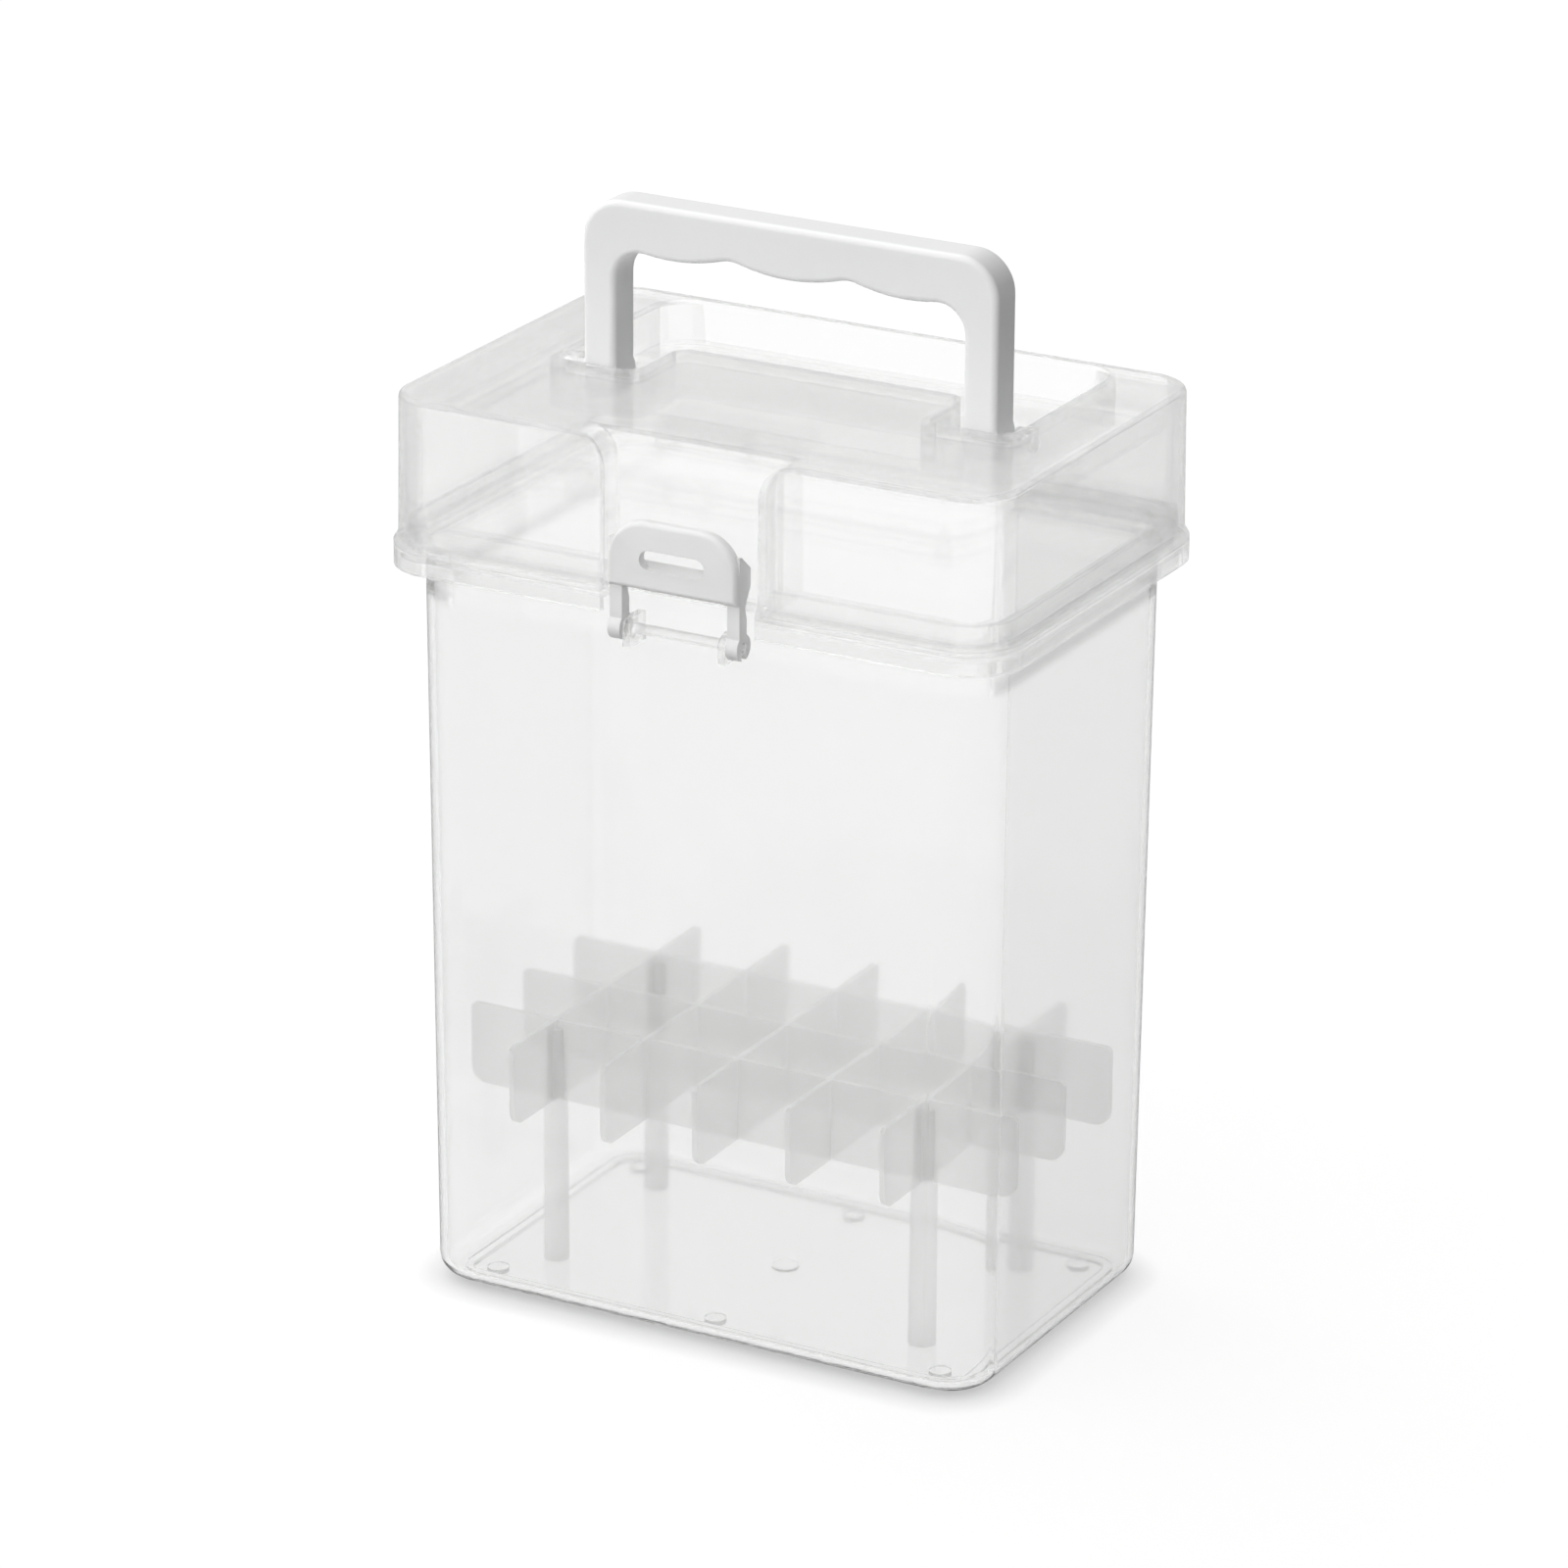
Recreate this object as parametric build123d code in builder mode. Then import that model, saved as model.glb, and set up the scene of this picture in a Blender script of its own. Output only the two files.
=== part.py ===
from build123d import *
import os

os.makedirs("parts", exist_ok=True)

# Marker storage case: a clear moulded tub and hinged lid, a folding white handle,
# a snap latch, and a lift-out divider of slotted slats on four posts.
# Units are millimetres. +Z is up, +X is to the right seen from the latch side, and
# +Y is towards the hinge. The origin is the middle of the face that the case stands on.

# Tub shell
tub_height = 188.1
tub_length = 152.7
tub_width = 98.1
tub_draft = 1.3
tub_corner_radius = 13.0
tub_wall = 1.8
tub_floor = 1.8
tub_bottom_round = 5.0
foot_height = 1.2
foot_inset = 1.2
foot_ring_width = 2.2
pad_diameter = 5.3
pad_spacing_x = 60.3
pad_spacing_y = 34.9
gate_diameter = 6.5
gate_height = 0.5

# Tub rim: a flange with a turned-down edge, and a lip that stands inside the lid
flange_step = 1.4
flange_corner_radius = 14.0
flange_plate = 1.8
flange_edge_height = 4.7
flange_edge_wall = 1.6
lip_height = 6.3
lip_wall = 1.6
lid_to_lip_gap = 0.6

# Lid shell
lid_height = 37.1
lid_seat_gap = 0.2
lid_wall = 1.6
lid_side_step = 4.15
lid_end_step = 4.55
lid_corner_radius = 12.0
lid_draft = 0.3
lid_top_round = 1.4
skirt_height = 0.9
skirt_flare_height = 1.9

# Well in the lid's top, a U shape that the handle folds down into
well_length = 121.0
well_front = -7.5
well_rim = 3.4
well_depth = 10.0
well_back_radius = 9.0
well_front_radius = 4.0
tongue_back = 14.0
tongue_radius = 4.0

# Bay in the lid's front wall, which the latch stands in, with a catch at its foot
bay_depth = 7.9
bay_mouth_radius = 9.0
bay_side_gap = 3.2
catch_reach = 5.0
catch_wall = 1.6
catch_side_gap = 0.6
catch_height = 5.4

# Rear hinge: rods on the tub, and open barrels on the lid that snap over them
hinge_barrel_radius = 3.5
hinge_rod_radius = 1.5
hinge_bore_clearance = 0.06
hinge_gap = 0.3
hinge_end_gap = 13.6
hinge_barrel_length = 22.0
hinge_inner_ear_length = 11.2
hinge_outer_ear_length = 3.0
hinge_snap_share = 0.82

# Handle, whose size follows the well that it folds into
handle_leg_width = 8.6
handle_depth = 10.2
handle_side_gap = 5.9
handle_front_gap = 3.9
handle_end_gap = 5.0
handle_floor_gap = 0.6
handle_tongue_gap = 7.8
handle_corner_radius = 10.0
handle_inner_radius = 7.0
handle_edge_round = 1.5
grip_height = 12.9
finger_cusp_height = 2.6
finger_cusp_spacing = 31.2
finger_cusp_round = 8.0
handle_peg_radius = 2.0
peg_clearance = 0.05
peg_past_wall = 0.4
bearing_boss_radius = 3.6
bearing_boss_length = 2.6

# Latch
latch_width = 34.0
latch_pivot_below_rim = 7.4
latch_wall_gap = 1.8
latch_knuckle_radius = 3.2
latch_rod_radius = 1.3
latch_bore_clearance = 0.06
latch_snap_share = 0.82
latch_side_gap = 0.3
latch_ear_width = 2.0
latch_ear_radius = 2.3
latch_ear_drop = 4.2
latch_arm_width = 3.2
latch_arm_front = 2.1
latch_arm_thickness = 3.5
latch_plate_front = 3.5
latch_plate_thickness = 2.4
latch_plate_bottom = 10.6
latch_plate_height = 16.5
latch_top_radius = 9.5
latch_edge_round = 1.2
latch_slot_width = 17.0
latch_slot_height = 4.7
latch_slot_above_pivot = 18.1
hook_height = 2.0
hook_above_catch = 0.7
hook_release_gap = 0.2
cheek_neck_back = 0.5
cheek_neck_drop = 1.0
cheek_neck_length = 3.0
cheek_nose_low = 14.2
cheek_nose_high = 18.4
cheek_top = 22.1

# Divider
slat_thickness = 1.3
slat_height = 20.5
slat_bottom_above_floor = 42.1
end_cell_x = 23.2
end_cell_y = 20.9
cross_slat_count = 5
long_slat_count = 3
long_slat_end_gap = 0.35
cross_slat_end_gap = 0.85
slat_low_corner = 4.0
slat_top_corner = 1.0
slat_slot_clearance = 0.1
post_foot_diameter = 6.2
post_neck_diameter = 5.8
post_head_diameter = 5.4
post_head_below_top = 2.0


def grown(size, amount):
    return (size[0] + 2 * amount, size[1] + 2 * amount)


# Plan sizes of the tub, its rim and the lid, as length and width
tub_top_size = (tub_length, tub_width)
tub_bottom_size = grown(tub_top_size, -tub_draft)
lid_length = tub_length + 2 * lid_side_step
lid_width = tub_width + 2 * lid_end_step
lid_size = (lid_length, lid_width)
lid_top_size = grown(lid_size, -lid_draft)
lip_size = grown(lid_size, -lid_wall - lid_to_lip_gap)
flange_size = grown(lid_size, flange_step)

# Levels from the table up
floor_top = foot_height + tub_floor
latch_pivot_z = tub_height - latch_pivot_below_rim
lid_bottom = tub_height + lid_seat_gap
catch_top = lid_bottom + catch_height
skirt_top = lid_bottom + skirt_height
flare_top = skirt_top + skirt_flare_height
lid_top = lid_bottom + lid_height
slat_bottom = floor_top + slat_bottom_above_floor
slat_top = slat_bottom + slat_height

# Hinge at the back
hinge_axis_y = flange_size[1] / 2 + hinge_gap + hinge_barrel_radius
hinge_axis_z = tub_height + lid_seat_gap / 2
hinge_ears_end = flange_size[0] / 2 - hinge_end_gap
hinge_barrel_start = hinge_ears_end - hinge_outer_ear_length - hinge_gap - hinge_barrel_length

# Latch and bay at the front
wall_top_front = -tub_width / 2
latch_pivot_y = wall_top_front - latch_wall_gap - latch_knuckle_radius
bay_width = latch_width + 2 * bay_side_gap
bay_floor_y = -lid_width / 2 + bay_depth
catch_width = latch_width - 2 * latch_arm_width - 2 * catch_side_gap
catch_outer_y = bay_floor_y - catch_reach

# Handle and well
well_back = lid_width / 2 - well_rim
handle_length = well_length - 2 * handle_side_gap
handle_pivot_y = well_front + handle_front_gap + handle_depth / 2
handle_pivot_z = lid_top - well_depth + handle_floor_gap + handle_depth / 2
handle_rise = well_back - handle_end_gap - handle_pivot_y
tongue_length = handle_length - 2 * handle_leg_width - 2 * handle_tongue_gap

# Slats, which reach nearly to the tub's drafted walls
slat_level_share = (slat_bottom - foot_height) / (tub_height - foot_height)
slat_level_size = grown(tub_bottom_size, tub_draft * slat_level_share - tub_wall)
long_slat_length = slat_level_size[0] - 2 * long_slat_end_gap
cross_slat_length = slat_level_size[1] - 2 * cross_slat_end_gap
cell_pitch_x = (long_slat_length - 2 * end_cell_x) / (cross_slat_count - 1)
cell_pitch_y = (cross_slat_length - 2 * end_cell_y) / (long_slat_count - 1)


def tapered_block(low, low_size, high, high_size, radius):
    # A block between two level rounded rectangles, joined by straight drafted sides.
    with BuildPart() as block:
        with BuildSketch(Plane.XY.offset(low)):
            RectangleRounded(low_size[0], low_size[1], radius)
        with BuildSketch(Plane.XY.offset(high)):
            RectangleRounded(high_size[0], high_size[1], radius)
        loft(ruled=True)
    return block.part


# Tub: the hollow inside it, as a solid
with BuildPart() as tub_hollow:
    add(
        tapered_block(
            floor_top,
            grown(tub_bottom_size, -tub_wall),
            tub_height,
            grown(tub_top_size, -tub_wall),
            tub_corner_radius - tub_wall,
        )
    )
    fillet(tub_hollow.edges().group_by(Axis.Z)[0], tub_bottom_round - tub_wall)
    with BuildSketch(Plane.XY.offset(tub_height)):
        RectangleRounded(*grown(lip_size, -lip_wall), lid_corner_radius - lid_wall - lip_wall)
    extrude(amount=lip_height + 1)


def ear_outline(radius, pivot_y, pivot_z, root_y, low_z, high_z):
    # A round end about the pivot, carried back to its root by a flat web.
    with Locations((pivot_y, pivot_z)):
        Circle(radius)
    web_depth = abs(pivot_y - root_y)
    with Locations(((pivot_y + root_y) / 2, (low_z + high_z) / 2)):
        Rectangle(web_depth, high_z - low_z)


with BuildPart() as tub:
    add(tapered_block(foot_height, tub_bottom_size, tub_height, tub_top_size, tub_corner_radius))
    fillet(tub.edges().group_by(Axis.Z)[0], tub_bottom_round)

    # Foot ring, with six round pads level with it, and the gate mark inside it
    with BuildSketch() as foot_outline:
        outer_foot = tub_bottom_round + foot_inset
        inner_foot = outer_foot + foot_ring_width
        RectangleRounded(*grown(tub_bottom_size, -outer_foot), tub_corner_radius - outer_foot)
        RectangleRounded(
            *grown(tub_bottom_size, -inner_foot),
            tub_corner_radius - inner_foot,
            mode=Mode.SUBTRACT,
        )
        with GridLocations(pad_spacing_x, 2 * pad_spacing_y, 3, 2):
            Circle(pad_diameter / 2)
    extrude(amount=foot_height)
    with BuildSketch(Plane.XY.offset(foot_height - gate_height)):
        Circle(gate_diameter / 2)
    extrude(amount=gate_height)

    # Flange plate, its turned-down edge, and the lip
    with BuildSketch(Plane.XY.offset(tub_height - flange_plate)):
        RectangleRounded(*flange_size, flange_corner_radius)
    extrude(amount=flange_plate)
    with BuildSketch(Plane.XY.offset(tub_height - flange_edge_height)):
        RectangleRounded(*flange_size, flange_corner_radius)
        RectangleRounded(
            *grown(flange_size, -flange_edge_wall),
            flange_corner_radius - flange_edge_wall,
            mode=Mode.SUBTRACT,
        )
    extrude(amount=flange_edge_height)
    with BuildSketch(Plane.XY.offset(tub_height)):
        RectangleRounded(*lip_size, lid_corner_radius - lid_wall)
    extrude(amount=lip_height)

    add(tub_hollow.part, mode=Mode.SUBTRACT)

    # Front gap in the flange and lip, where the latch and the lid's bay stand
    with BuildSketch(Plane.XY.offset(tub_height - flange_edge_height)):
        with Locations((0, wall_top_front)):
            Rectangle(bay_width, flange_size[1] - tub_width, align=(Align.CENTER, Align.MAX))
    extrude(amount=flange_edge_height, mode=Mode.SUBTRACT)
    with BuildSketch(Plane.XY.offset(tub_height)):
        with Locations((0, -lip_size[1] / 2)):
            Rectangle(bay_width + 2 * lid_wall + 2 * lid_to_lip_gap, 4 * lip_wall + bay_depth)
    extrude(amount=lip_height, mode=Mode.SUBTRACT)

    # Ears for the two hinge rods, one pair each side, and the rods between them
    inner_ear = hinge_barrel_start - hinge_gap - hinge_inner_ear_length
    outer_ear = hinge_barrel_start + hinge_barrel_length + hinge_gap
    ear_spans = [(inner_ear, hinge_inner_ear_length), (outer_ear, hinge_outer_ear_length)]
    for side in (-1, 1):
        for ear_start, ear_length in ear_spans:
            with BuildSketch(Plane.YZ.offset(side * ear_start)):
                ear_outline(
                    hinge_barrel_radius,
                    hinge_axis_y,
                    hinge_axis_z,
                    flange_size[1] / 2 - flange_edge_wall / 2,
                    tub_height - flange_edge_height,
                    tub_height,
                )
            extrude(amount=side * ear_length)
        with BuildSketch(Plane.YZ.offset(side * (hinge_barrel_start - 2 * hinge_gap))):
            with Locations((hinge_axis_y, hinge_axis_z)):
                Circle(hinge_rod_radius)
        extrude(amount=side * (hinge_barrel_length + 4 * hinge_gap))

    # Ears for the latch on the front wall, and the rod that the latch snaps onto
    latch_ear_start = latch_width / 2 - latch_arm_width - latch_side_gap - latch_ear_width
    for side in (-1, 1):
        with BuildSketch(Plane.YZ.offset(side * latch_ear_start)):
            ear_outline(
                latch_ear_radius,
                latch_pivot_y,
                latch_pivot_z,
                wall_top_front + tub_wall / 2,
                latch_pivot_z - latch_ear_drop,
                tub_height - flange_edge_height,
            )
            with Locations((latch_pivot_y - latch_ear_radius, latch_pivot_z)):
                Rectangle(latch_ear_radius, latch_ear_drop, align=(Align.MIN, Align.MAX))
        extrude(amount=side * latch_ear_width)
    with BuildSketch(Plane.YZ.offset(-latch_width / 2 + latch_side_gap)):
        with Locations((latch_pivot_y, latch_pivot_z)):
            Circle(latch_rod_radius)
    extrude(amount=latch_width - 2 * latch_side_gap)
tub.part.label = "tub"
export_step(tub.part, "parts/tub.step")


def well_block(grow, low):
    # The U-shaped well from the lid's top down to the given level, walls grown outwards.
    with BuildPart() as block:
        with BuildSketch(Plane.XY.offset(low)) as outline:
            middle = (well_front + well_back) / 2
            span = well_back - well_front + 2 * grow
            with Locations((0, middle)):
                Rectangle(well_length + 2 * grow, span)
            corners = outline.vertices().group_by(Axis.Y)
            fillet(corners[-1], well_back_radius + grow)
            with Locations((0, tongue_back - grow)):
                tongue_reach = tongue_back - well_front + grow + well_front_radius
                Rectangle(
                    tongue_length - 2 * grow,
                    tongue_reach,
                    align=(Align.CENTER, Align.MAX),
                    mode=Mode.SUBTRACT,
                )
            lines = outline.vertices().group_by(Axis.Y)
            fillet(lines[0], well_front_radius)
            inner = outline.vertices().filter_by(
                lambda v: abs(v.Y - tongue_back + grow) < 0.01 and abs(v.X) < tongue_length / 2 + 1
            )
            fillet(inner, tongue_radius - grow)
        extrude(amount=lid_top - low + 1)
    return block.part


def bay_block(grow):
    # The bay from the lid's front face inwards, its two sides flared at the lid's top.
    half = bay_width / 2 + grow
    flare = bay_mouth_radius - grow
    top = lid_top + 1
    with BuildPart() as block:
        with BuildSketch(Plane.XZ.offset(lid_width / 2 + 10)):
            with BuildLine():
                Polyline(
                    (-half, lid_top - flare),
                    (-half, lid_bottom - 1),
                    (half, lid_bottom - 1),
                    (half, lid_top - flare),
                )
                CenterArc((half + flare, lid_top - flare), flare, 90, 90)
                CenterArc((-half - flare, lid_top - flare), flare, 0, 90)
                Polyline(
                    (-half - flare, lid_top),
                    (-half - flare, top),
                    (half + flare, top),
                    (half + flare, lid_top),
                )
            make_face()
        extrude(amount=-(10 + bay_depth + grow))
    return block.part


# Lid: the hollow inside it, less the walls of the well and of the bay
with BuildPart() as lid_hollow:
    inner_radius = lid_corner_radius - lid_wall
    add(
        tapered_block(
            lid_bottom,
            grown(lid_size, -lid_wall),
            lid_top - lid_wall,
            grown(lid_top_size, -lid_wall),
            inner_radius,
        )
    )
    add(well_block(lid_wall, lid_top - well_depth - lid_wall), mode=Mode.SUBTRACT)
    add(bay_block(lid_wall), mode=Mode.SUBTRACT)

with BuildPart() as lid:
    with BuildSketch(Plane.XY.offset(lid_bottom)):
        RectangleRounded(*flange_size, flange_corner_radius)
    extrude(amount=skirt_height)
    with BuildSketch(Plane.XY.offset(skirt_top)):
        RectangleRounded(*flange_size, flange_corner_radius)
    with BuildSketch(Plane.XY.offset(flare_top)):
        RectangleRounded(*lid_size, lid_corner_radius)
    loft(ruled=True)
    add(tapered_block(flare_top, lid_size, lid_top, lid_top_size, lid_corner_radius))
    fillet(lid.edges().group_by(Axis.Z)[-1], lid_top_round)

    add(bay_block(0), mode=Mode.SUBTRACT)
    add(well_block(0, lid_top - well_depth), mode=Mode.SUBTRACT)
    add(lid_hollow.part, mode=Mode.SUBTRACT)

    # Ledge at the foot of the bay, and the catch that the latch's hook holds
    ledge_root = bay_floor_y + lid_wall / 2
    with BuildSketch(Plane.XY.offset(lid_bottom)):
        with Locations((0, catch_outer_y)):
            Rectangle(
                bay_width + lid_wall,
                ledge_root - catch_outer_y,
                align=(Align.CENTER, Align.MIN),
            )
    extrude(amount=catch_wall)
    with BuildSketch(Plane.XY.offset(lid_bottom)):
        with Locations((0, catch_outer_y)):
            Rectangle(catch_width, catch_wall, align=(Align.CENTER, Align.MIN))
    extrude(amount=catch_height)

    # Open barrels that snap down over the tub's hinge rods
    bore_radius = hinge_rod_radius + hinge_bore_clearance
    snap_width = 2 * hinge_rod_radius * hinge_snap_share
    for side in (-1, 1):
        with BuildSketch(Plane.YZ.offset(side * hinge_barrel_start)):
            ear_outline(
                hinge_barrel_radius,
                hinge_axis_y,
                hinge_axis_z,
                flange_size[1] / 2 - lid_wall / 2,
                lid_bottom + lid_seat_gap / 2,
                hinge_axis_z + hinge_barrel_radius,
            )
            with Locations((hinge_axis_y, hinge_axis_z)):
                Circle(bore_radius, mode=Mode.SUBTRACT)
                Rectangle(
                    snap_width,
                    2 * hinge_barrel_radius,
                    align=(Align.CENTER, Align.MAX),
                    mode=Mode.SUBTRACT,
                )
        extrude(amount=side * hinge_barrel_length)

    # Bearing bosses on the well's side walls, bored through for the handle's pegs
    for side in (-1, 1):
        with BuildSketch(Plane.YZ.offset(side * (well_length / 2 + lid_wall / 2))):
            with Locations((handle_pivot_y, handle_pivot_z)):
                Circle(bearing_boss_radius)
        extrude(amount=-side * (bearing_boss_length + lid_wall / 2))
        with BuildSketch(Plane.YZ.offset(side * (well_length / 2 - bearing_boss_length))):
            with Locations((handle_pivot_y, handle_pivot_z)):
                Circle(handle_peg_radius + peg_clearance)
        extrude(amount=side * (bearing_boss_length + lid_wall), mode=Mode.SUBTRACT)
lid.part.label = "lid"
export_step(lid.part, "parts/lid.step")


# Handle: two legs and a grip with three finger hollows, and a peg out of each foot
with BuildPart() as handle:
    half_length = handle_length / 2
    inner_half = half_length - handle_leg_width
    handle_top = handle_pivot_z + handle_rise
    grip_low = handle_top - grip_height
    cusp = finger_cusp_spacing / 2
    cusp_high = grip_low + finger_cusp_height
    outer_wave = (inner_half + cusp) / 2
    with BuildSketch(Plane.XZ.offset(-handle_pivot_y)) as handle_face:
        with Locations((0, handle_pivot_z)):
            Rectangle(handle_length, handle_rise, align=(Align.CENTER, Align.MIN))
        fillet(handle_face.vertices().group_by(Axis.Y)[-1], handle_corner_radius)
        with BuildLine():
            Polyline(
                (-inner_half, cusp_high),
                (-inner_half, handle_pivot_z),
                (inner_half, handle_pivot_z),
                (inner_half, cusp_high),
            )
            ThreePointArc((inner_half, cusp_high), (outer_wave, grip_low), (cusp, cusp_high))
            ThreePointArc((cusp, cusp_high), (0, grip_low), (-cusp, cusp_high))
            ThreePointArc((-cusp, cusp_high), (-outer_wave, grip_low), (-inner_half, cusp_high))
        make_face(mode=Mode.SUBTRACT)
        inner_corners = handle_face.vertices().filter_by(
            lambda v: abs(abs(v.X) - inner_half) < 0.01 and abs(v.Y - cusp_high) < 0.01
        )
        fillet(inner_corners, handle_inner_radius)
        cusps = handle_face.vertices().filter_by(lambda v: abs(abs(v.X) - cusp) < 0.01)
        fillet(cusps, finger_cusp_round)
    extrude(amount=handle_depth / 2, both=True)
    rims = handle.faces().filter_by(Axis.Y).edges()
    rims = rims.filter_by(lambda e: e.center().Z > handle_pivot_z + 0.01)
    fillet(rims, handle_edge_round)
    for side in (-1, 1):
        with BuildSketch(Plane.YZ.offset(side * inner_half)):
            with Locations((handle_pivot_y, handle_pivot_z)):
                Circle(handle_depth / 2)
        extrude(amount=side * handle_leg_width)
    for side in (-1, 1):
        with BuildSketch(Plane.YZ.offset(side * half_length)):
            with Locations((handle_pivot_y, handle_pivot_z)):
                Circle(handle_peg_radius)
        extrude(amount=side * ((well_length / 2 + lid_wall) + peg_past_wall - half_length))
handle.part.label = "handle"
export_step(handle.part, "parts/handle.step")


# Latch: a plate with a finger slot, and two arms whose open knuckles snap onto the rod
with BuildPart() as latch:
    plate_front = latch_pivot_y - latch_plate_front
    plate_back = plate_front + latch_plate_thickness
    plate_low = latch_pivot_z + latch_plate_bottom
    hook_back = catch_outer_y - hook_release_gap
    with BuildSketch(Plane.XZ.offset(-plate_front)) as plate_face:
        with Locations((0, plate_low)):
            Rectangle(latch_width, latch_plate_height, align=(Align.CENTER, Align.MIN))
        fillet(plate_face.vertices().group_by(Axis.Y)[-1], latch_top_radius)
        with Locations((0, latch_pivot_z + latch_slot_above_pivot)):
            SlotOverall(latch_slot_width, latch_slot_height, mode=Mode.SUBTRACT)
    extrude(amount=-latch_plate_thickness)
    front_rim = latch.faces().sort_by(Axis.Y)[0].outer_wire().edges()
    fillet(front_rim, latch_edge_round)

    # Cheeks that stiffen the plate and carry the hook, with the arms below them
    for side in (-1, 1):
        with BuildSketch(Plane.YZ.offset(side * latch_width / 2)):
            with BuildLine():
                arm_front = latch_pivot_y - latch_arm_front
                arm_back = arm_front + latch_arm_thickness
                neck_back = latch_pivot_y + cheek_neck_back
                neck_low = plate_low - cheek_neck_drop
                nose_low = latch_pivot_z + cheek_nose_low
                nose_high = latch_pivot_z + cheek_nose_high
                Polyline(
                    (arm_front, latch_pivot_z),
                    (arm_front, latch_pivot_z + cheek_top),
                    (plate_back, latch_pivot_z + cheek_top),
                    (hook_back, nose_high),
                    (hook_back, nose_low),
                    (neck_back, neck_low),
                    (arm_back, neck_low - cheek_neck_length),
                    (arm_back, latch_pivot_z),
                    close=True,
                )
            make_face()
            with Locations((latch_pivot_y, latch_pivot_z)):
                Circle(latch_knuckle_radius)
                Circle(latch_rod_radius + latch_bore_clearance, mode=Mode.SUBTRACT)
                Rectangle(
                    2 * latch_rod_radius * latch_snap_share,
                    2 * latch_knuckle_radius,
                    align=(Align.CENTER, Align.MAX),
                    mode=Mode.SUBTRACT,
                )
        extrude(amount=-side * latch_arm_width)

    # Hook bar between the cheeks, just over the lid's catch
    with BuildSketch(Plane.XY.offset(catch_top + hook_above_catch)):
        with Locations((0, hook_back)):
            Rectangle(
                latch_width - latch_arm_width,
                hook_back - plate_back + latch_plate_thickness / 2,
                align=(Align.CENTER, Align.MAX),
            )
    extrude(amount=hook_height)
latch.part.label = "latch"
export_step(latch.part, "parts/latch.step")


def slat_outline(length):
    # A slat's side view: large rounds at the lower corners, small cuts at the upper ones.
    with BuildSketch() as outline:
        with Locations((0, slat_bottom)):
            Rectangle(length, slat_height, align=(Align.CENTER, Align.MIN))
        fillet(outline.vertices().group_by(Axis.Y)[0], slat_low_corner)
        chamfer(outline.vertices().group_by(Axis.Y)[-1], slat_top_corner)
    return outline.sketch


slot_width = slat_thickness + 2 * slat_slot_clearance
slot_depth = slat_height / 2 + slat_slot_clearance
long_slat_names = ["front", "middle", "back"]
long_slat_lines = [
    (i - (long_slat_count - 1) / 2) * cell_pitch_y for i in range(long_slat_count)
]
cross_slat_lines = [
    (i - (cross_slat_count - 1) / 2) * cell_pitch_x for i in range(cross_slat_count)
]


# Cross slats, from front to back, slotted from below
for number, line_x in enumerate(cross_slat_lines, start=1):
    with BuildPart() as cross_slat:
        with BuildSketch(Plane.YZ.offset(line_x)):
            add(slat_outline(cross_slat_length))
            with Locations(*[(line_y, slat_bottom) for line_y in long_slat_lines]):
                Rectangle(
                    slot_width,
                    slot_depth,
                    align=(Align.CENTER, Align.MIN),
                    mode=Mode.SUBTRACT,
                )
        extrude(amount=slat_thickness / 2, both=True)
    cross_slat.part.label = f"cross_slat_{number}"
    export_step(cross_slat.part, f"parts/cross_slat_{number}.step")


# Long slats, from left to right, slotted from above
for name, line_y in zip(long_slat_names, long_slat_lines):
    with BuildPart() as long_slat:
        with BuildSketch(Plane.XZ.offset(-line_y)):
            add(slat_outline(long_slat_length))
            with Locations(*[(line_x, slat_top) for line_x in cross_slat_lines]):
                Rectangle(
                    slot_width,
                    slot_depth,
                    align=(Align.CENTER, Align.MAX),
                    mode=Mode.SUBTRACT,
                )
        extrude(amount=slat_thickness / 2, both=True)
    long_slat.part.label = f"long_slat_{name}"
    export_step(long_slat.part, f"parts/long_slat_{name}.step")


# Posts under the four outer crossings, whose split heads hold the crossed slats
for row_name, line_y in (("front", long_slat_lines[0]), ("back", long_slat_lines[-1])):
    for side_name, line_x in (("left", cross_slat_lines[0]), ("right", cross_slat_lines[-1])):
        with BuildPart() as post:
            levels = [
                (floor_top, post_foot_diameter, slat_bottom, post_neck_diameter),
                (slat_bottom, post_neck_diameter, slat_top - post_head_below_top, post_head_diameter),
            ]
            for low, low_diameter, high, high_diameter in levels:
                with BuildSketch(Plane.XY.offset(low)):
                    with Locations((line_x, line_y)):
                        Circle(low_diameter / 2)
                with BuildSketch(Plane.XY.offset(high)):
                    with Locations((line_x, line_y)):
                        Circle(high_diameter / 2)
                loft()
            with BuildSketch(Plane.XY.offset(slat_bottom)):
                with Locations((line_x, line_y)):
                    Rectangle(slot_width, 2 * post_neck_diameter)
                    Rectangle(2 * post_neck_diameter, slot_width)
            extrude(amount=slat_height, mode=Mode.SUBTRACT)
        post.part.label = f"post_{row_name}_{side_name}"
        export_step(post.part, f"parts/post_{row_name}_{side_name}.step")
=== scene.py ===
import math

import bpy
import numpy as np
from mathutils import Matrix, Vector


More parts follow.
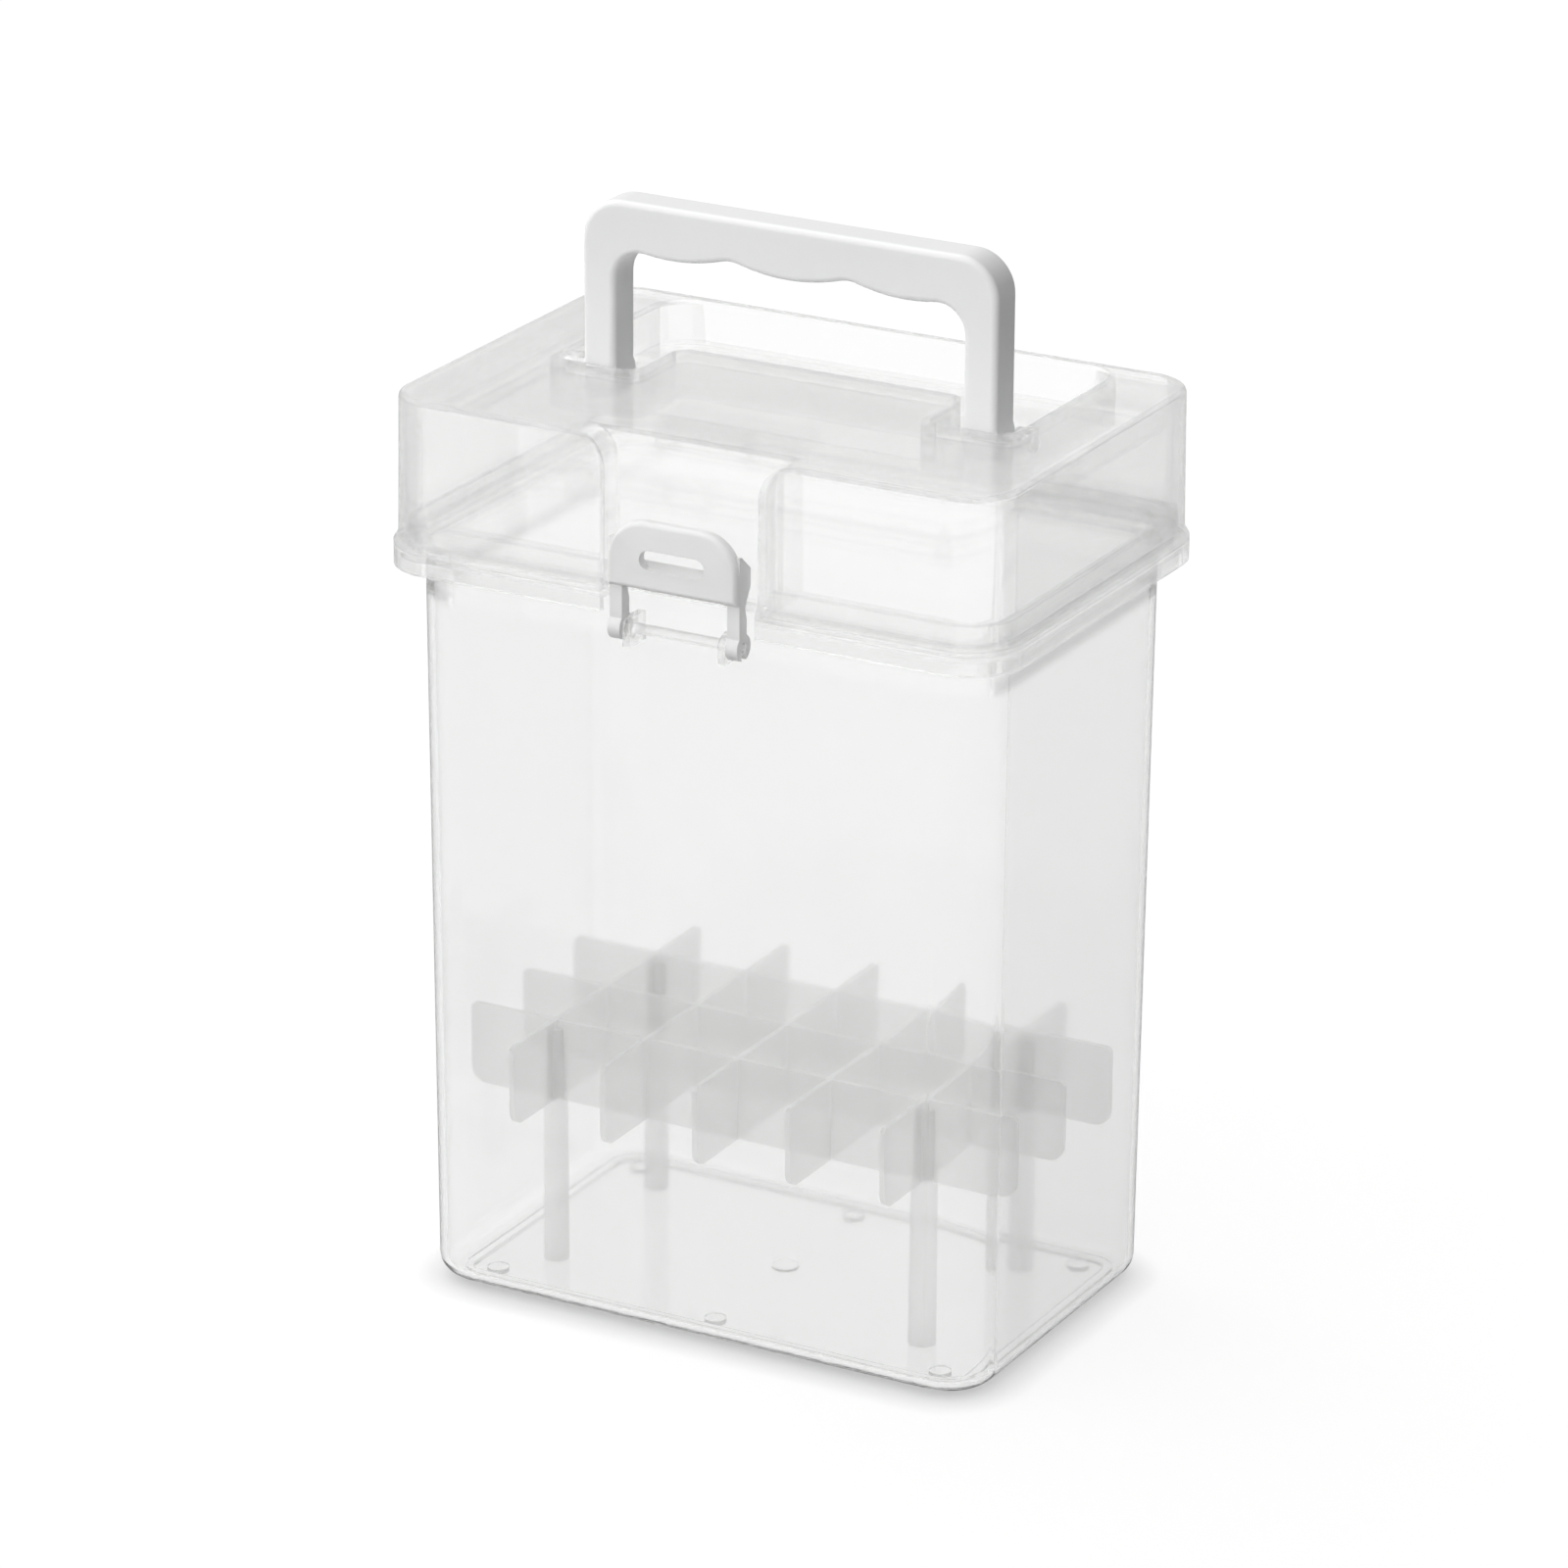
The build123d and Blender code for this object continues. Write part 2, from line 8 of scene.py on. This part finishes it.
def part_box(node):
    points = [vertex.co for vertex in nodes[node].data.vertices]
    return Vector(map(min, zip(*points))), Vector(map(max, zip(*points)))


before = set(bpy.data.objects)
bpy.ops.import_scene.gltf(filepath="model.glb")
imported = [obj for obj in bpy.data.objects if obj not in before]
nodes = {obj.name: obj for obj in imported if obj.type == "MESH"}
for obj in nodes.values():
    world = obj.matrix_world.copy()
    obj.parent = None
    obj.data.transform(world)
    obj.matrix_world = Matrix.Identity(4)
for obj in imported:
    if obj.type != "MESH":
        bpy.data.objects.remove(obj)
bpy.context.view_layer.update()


# The tub: a tall thin-walled box with a flange and lip at its rim and rods for the lid and
# the latch. It is one injection moulding in a clear plastic, polished by its mould. Its rim
# reads softer and paler than its walls, so from there up half the light goes straight on.
class Signal:
    """A socket that varies over a surface. Sums and products of signals add Math nodes."""

    def __init__(self, recipe, socket):
        self.recipe = recipe
        self.socket = socket

    def math(self, operation, *values):
        return self.recipe.node("ShaderNodeMath", {"operation": operation}, dict(enumerate(values)))

    def __add__(self, other):
        return self.math("ADD", self, other)

    def __sub__(self, other):
        return self.math("SUBTRACT", self, other)

    def __mul__(self, other):
        return self.math("MULTIPLY", self, other)

    def __rsub__(self, other):
        return self.math("SUBTRACT", other, self)

    def __pow__(self, other):
        return self.math("POWER", self, other)

    __radd__ = __add__
    __rmul__ = __mul__


class Recipe:
    """The nodes of one material or world, made one at a time by a single method."""

    def __init__(self, owner):
        owner.use_nodes = True
        self.tree = owner.node_tree
        self.tree.nodes.clear()

    def node(self, kind, settings=None, inputs=None, output=0):
        """Any node: its settings are set first, then its sockets take their values or links."""
        made = self.tree.nodes.new(kind)
        for name, value in (settings or {}).items():
            setattr(made, name, value)
        for name, value in (inputs or {}).items():
            if isinstance(value, Signal):
                self.tree.links.new(value.socket, made.inputs[name])
            else:
                made.inputs[name].default_value = value
        return Signal(self, made.outputs[output] if made.outputs else None)

    def noise(self, scale, detail=2.0, stretch=(1, 1, 1)):
        """Soft noise on the piece's own metres, drawn out along the axes whose stretch is small."""
        place = self.node("ShaderNodeTexCoord", output="Object")
        place = self.node("ShaderNodeMapping", None, {"Vector": place, "Scale": stretch})
        return self.node("ShaderNodeTexNoise", None, {"Vector": place, "Scale": scale, "Detail": detail})

    def blend(self, factor, low, high):
        """A colour between low and high, by factor."""
        return self.node(
            "ShaderNodeMix", {"data_type": "RGBA"}, {0: factor, 6: low, 7: high}, output=2
        )

    def ramp(self, value, start, end, low, high):
        """A smooth step from low to high while value goes from start to end."""
        places = {0: value, 1: start, 2: end, 3: low, 4: high}
        return self.node("ShaderNodeMapRange", {"interpolation_type": "SMOOTHSTEP"}, places)

    def bump(self, height, strength, distance):
        """The normal of a surface raised by height * distance metres, followed in part by strength."""
        return self.node(
            "ShaderNodeBump", None, {"Height": height, "Strength": strength, "Distance": distance}
        )

    def plastic(self, depth=None, **sockets):
        """A Principled surface, with underscores for the spaces in its sockets' names.

        With a depth, blue light fades inside by exp(-path / depth), the rest a little slower."""
        inputs = {name.replace("_", " "): value for name, value in sockets.items()}
        ends = {"Surface": self.node("ShaderNodeBsdfPrincipled", None, inputs)}
        if depth:
            ends["Volume"] = self.node(
                "ShaderNodeVolumeAbsorption", None, {"Color": (0.1, 0.1, 0.0, 1), "Density": 1 / depth}
            )
        self.node("ShaderNodeOutputMaterial", None, ends)


def dress(names, material):
    """Gives CAD pieces their finish and leaves their shape alone."""
    for name in names:
        slots = nodes[name].data.materials
        slots.clear()
        slots.append(material)


clear_plastic = bpy.data.materials.new("clear_moulded_plastic")
mould = Recipe(clear_plastic)
flow = mould.noise(9.0, stretch=(1, 1, 0.25))
smear = mould.noise(60.0, 3.0)
slant = mould.node("ShaderNodeLayerWeight", None, {"Blend": 0.5}, output="Facing")
place = mould.node("ShaderNodeTexCoord", output="Object")
level = mould.node("ShaderNodeSeparateXYZ", None, {0: place}, output="Z")
rim_depth = 0.0154
rim_fade = 0.005
rim_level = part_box("tub")[1].z - rim_depth
soft = mould.ramp(level, rim_level - rim_fade, rim_level, 0.0, 1.0)
tint = mould.blend(smear, (0.965, 0.968, 0.965, 1), (0.985, 0.988, 0.985, 1))
tint = mould.blend(soft, tint, (0.995, 0.997, 0.995, 1))
# Painted shade: the colour darkens where a face is seen at a slant, in place of the dark that refraction
# gives, and that draws the rounded edges.
mould.plastic(
    depth=0.3,
    Base_Color=mould.blend(slant ** 3, tint, (0.75, 0.755, 0.75, 1)),
    Roughness=smear * 0.04 + soft * 0.03 + 0.05,
    IOR=1.49,
    Alpha=1 - soft * 0.5,
    Transmission_Weight=0.95,
    Normal=mould.bump(flow, 0.06, 0.002),
)
dress(["tub"], clear_plastic)


# The lid: a shallow clear moulding with a well for the handle and a bay for the latch. It is
# made of the same plastic as the tub, and its open barrels snap over the tub's rods.
dress(["lid"], clear_plastic)


# The handle: a white grip with three finger waves and a peg at each foot. It is one opaque
# polypropylene moulding with a fine satin skin, sprung into the bosses in the lid's well.
white_plastic = bpy.data.materials.new("white_handle_plastic")
grip = Recipe(white_plastic)
grain = grip.noise(900.0)
cloud = grip.noise(22.0)
grip.plastic(
    Base_Color=grip.blend(cloud, (0.80, 0.80, 0.805, 1), (0.84, 0.84, 0.845, 1)),
    Roughness=cloud * 0.12 + 0.34,
    IOR=1.49,
    Normal=grip.bump(grain, 0.06, 0.0002),
)
dress(["handle"], white_plastic)


# The latch: a thumb plate with a slot, a hook and two open knuckles. It is moulded in milky
# polypropylene that lets light through, and it snaps onto the rod on the tub's front.
milky_plastic = bpy.data.materials.new("milky_latch_plastic")
milk = Recipe(milky_plastic)
haze = milk.noise(30.0)
milk.plastic(
    depth=0.1,
    Base_Color=milk.blend(haze, (0.95, 0.95, 0.95, 1), (0.98, 0.98, 0.98, 1)),
    Roughness=haze * 0.1 + 0.33,
    IOR=1.49,
    Transmission_Weight=0.3,
    Normal=milk.bump(milk.noise(700.0), 0.05, 0.0002),
)
dress(["latch"], milky_plastic)


# The divider: eight slotted slats that cross in a grid, held up by four posts. All are
# moulded in the same milky polypropylene, frosted a little by their mould. Each face veils
# about half of what lies behind it, and a face seen from inside its own piece veils nothing.
frosted_plastic = bpy.data.materials.new("frosted_divider_plastic")
frost = Recipe(frosted_plastic)
veil = frost.noise(25.0)
behind = frost.node("ShaderNodeNewGeometry", output="Backfacing")
frost.plastic(
    Base_Color=frost.blend(veil, (0.97, 0.97, 0.965, 1), (0.99, 0.99, 0.985, 1)),
    Roughness=veil * 0.1 + 0.34,
    IOR=1.49,
    Alpha=(veil * 0.1 + 0.5) * (1 - behind),
    Normal=frost.bump(frost.noise(700.0), 0.05, 0.0002),
)
divider = [name for name in nodes if name.startswith(("cross_slat", "long_slat", "post"))]
dress(divider, frosted_plastic)


# The room: a white floor that runs on to a white horizon, and soft light from the left.
# The floor glows just enough to meet the white behind it, and it keeps the case's shadow.
# Close to the foot of the case it is shaded by how much of the sky the case hides.
floor_reach = 6.0
floor_mesh = bpy.data.meshes.new("floor")
corners = np.array([(-1, -1, 0), (1, -1, 0), (1, 1, 0), (-1, 1, 0)]) * floor_reach
floor_mesh.from_pydata(corners.tolist(), [], [(0, 1, 2, 3)])
floor = bpy.data.objects.new("floor", floor_mesh)
bpy.context.scene.collection.objects.link(floor)
floor_paint = bpy.data.materials.new("white_floor")
paint = Recipe(floor_paint)
floor_albedo = 0.15
floor_glow = 0.87
glow_lost_in_mirrors = 0.75
contact_shade = 0.5
contact_reach = 0.009
lit = paint.node("ShaderNodeBsdfDiffuse", None, {"Color": (floor_albedo, floor_albedo, floor_albedo, 1)})
open_sky = paint.node("ShaderNodeAmbientOcclusion", {"samples": 2}, {"Distance": contact_reach}, output="AO")
viewed = paint.node("ShaderNodeLightPath", output="Is Camera Ray")
diffused = paint.node("ShaderNodeLightPath", output="Is Diffuse Ray")
mirrored = paint.node("ShaderNodeLightPath", output="Is Glossy Ray")
passed = paint.node("ShaderNodeLightPath", output="Is Transmission Ray")
shade = 1 - viewed * (1 - open_sky) * contact_shade
kept = 1 - mirrored * (1 - passed) * glow_lost_in_mirrors
strength = (1 - diffused) * kept * floor_glow
shaded_white = paint.blend(shade, (0, 0, 0, 1), (1, 1, 1, 1))
glow = paint.node("ShaderNodeEmission", None, {"Color": shaded_white, "Strength": strength})
surface = paint.node("ShaderNodeAddShader", None, {0: lit, 1: glow})
paint.node("ShaderNodeOutputMaterial", None, {"Surface": surface})
floor_mesh.materials.append(floor_paint)

room = bpy.data.worlds.new("studio")
bpy.context.scene.world = room
sky = Recipe(room)
way = sky.node("ShaderNodeTexCoord", output="Generated")
east = sky.node("ShaderNodeSeparateXYZ", None, {0: way}, output="X")
north = sky.node("ShaderNodeSeparateXYZ", None, {0: way}, output="Y")
height = sky.node("ShaderNodeSeparateXYZ", None, {0: way}, output="Z")
seen = sky.node("ShaderNodeLightPath", output="Is Camera Ray")
glossy = sky.node("ShaderNodeLightPath", output="Is Glossy Ray")
through = sky.node("ShaderNodeLightPath", output="Is Transmission Ray")
# Light that comes through the plastic, off its polish or onto a matt face is each set apart.
for_glass = sky.ramp(height, 0.05, 0.6, 1.0, 1.25)
for_mirrors = sky.ramp(height, 0.0, 0.6, 0.5, 0.95)
for_matt = 0.9 - east * 0.9 - north * 0.75
sharp = glossy.math("MAXIMUM", glossy, through)
around = sharp * (through * for_glass + (1 - through) * for_mirrors) + (1 - sharp) * for_matt
strength = seen + (1 - seen) * around
backdrop = sky.node("ShaderNodeBackground", None, {"Color": (1, 1, 1, 1), "Strength": strength})
sky.node("ShaderNodeOutputWorld", None, {"Surface": backdrop})

case_middle = Vector((0, 0, 0.12))
key = bpy.data.lights.new("key", "AREA")
key.shape = "SQUARE"
key.size = 1.2
key.energy = 8.0
key_lamp = bpy.data.objects.new("key", key)
key_lamp.location = (-1.2, 0.6, 1.9)
key_lamp.rotation_euler = (case_middle - key_lamp.location).to_track_quat("-Z", "Y").to_euler()
bpy.context.scene.collection.objects.link(key_lamp)


# The camera: a long lens that looks from the right of the front and about 20 degrees down.
# Its place, its roll and its length are those that fit the edges of the case in the picture.
eye_azimuth = math.radians(28.57)
eye_elevation = math.radians(20.605)
eye_roll = math.radians(0.396)
eye_distance = 1.777
eye_target = Vector((-0.001742, 0.0, 0.126527))
focal_length_in_pixels = 7641.3
image_width_in_pixels = 1600
back = Vector((
    math.sin(eye_azimuth) * math.cos(eye_elevation),
    -math.cos(eye_azimuth) * math.cos(eye_elevation),
    math.sin(eye_elevation),
))
camera_data = bpy.data.cameras.new("camera")
camera_data.sensor_width = 36.0
camera_data.lens = focal_length_in_pixels / image_width_in_pixels * camera_data.sensor_width
camera = bpy.data.objects.new("camera", camera_data)
turn = back.to_track_quat("Z", "Y").to_matrix() @ Matrix.Rotation(eye_roll, 3, "Z")
camera.matrix_world = Matrix.Translation(eye_target + back * eye_distance) @ turn.to_4x4()
bpy.context.scene.collection.objects.link(camera)
bpy.context.scene.camera = camera
bpy.context.scene.view_settings.view_transform = "Standard"
